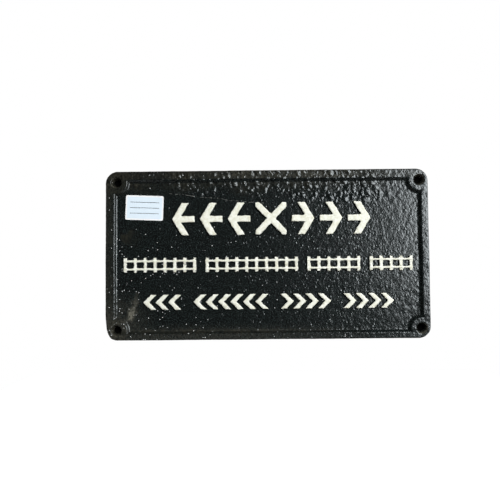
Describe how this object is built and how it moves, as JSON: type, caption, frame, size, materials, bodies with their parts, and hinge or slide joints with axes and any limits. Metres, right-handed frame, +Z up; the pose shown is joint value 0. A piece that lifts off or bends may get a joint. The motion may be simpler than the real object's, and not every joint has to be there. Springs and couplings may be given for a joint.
{
  "type": "cast iron railway warning sign",
  "caption": "Oblong cast iron sign with raised border, corner bosses round tapered fixing holes, and rows of raised arrows, a cross, track and chevrons.",
  "frame": {"origin": "centre of the flat back face, on the plane that lies against the wall or post", "axes": "+X to the reader's right along the sign, +Z up the sign, -Y out of the face towards the reader, +Y into the wall"},
  "size_m": [0.42, 0.01, 0.22],
  "materials": {
    "black_casting": "semi-gloss black paint over rough sand-cast iron",
    "cream_figures": "cream-white paint brushed on the raised tops",
    "label_paper": "matte"
  },
  "bodies": {
    "root": {"ground_plate": "black_casting", "border_top": "black_casting", "border_bottom": "black_casting", "border_left": "black_casting", "border_right": "black_casting", "boss_top_left": "black_casting", "boss_top_right": "black_casting", "boss_bottom_left": "black_casting", "boss_bottom_right": "black_casting", "arrow_left_1": "cream_figures", "arrow_left_2": "cream_figures", "arrow_left_3": "cream_figures", "arrow_right_1": "cream_figures", "arrow_right_2": "cream_figures", "arrow_right_3": "cream_figures", "crossing_cross": "cream_figures", "track_length_1": "cream_figures", "track_length_2": "cream_figures", "track_length_3": "cream_figures", "track_length_4": "cream_figures", "chevrons_1": "cream_figures", "chevrons_2": "cream_figures", "chevrons_3": "cream_figures", "chevrons_4": "cream_figures", "lot_label": "label_paper"}
  },
  "joints": []
}
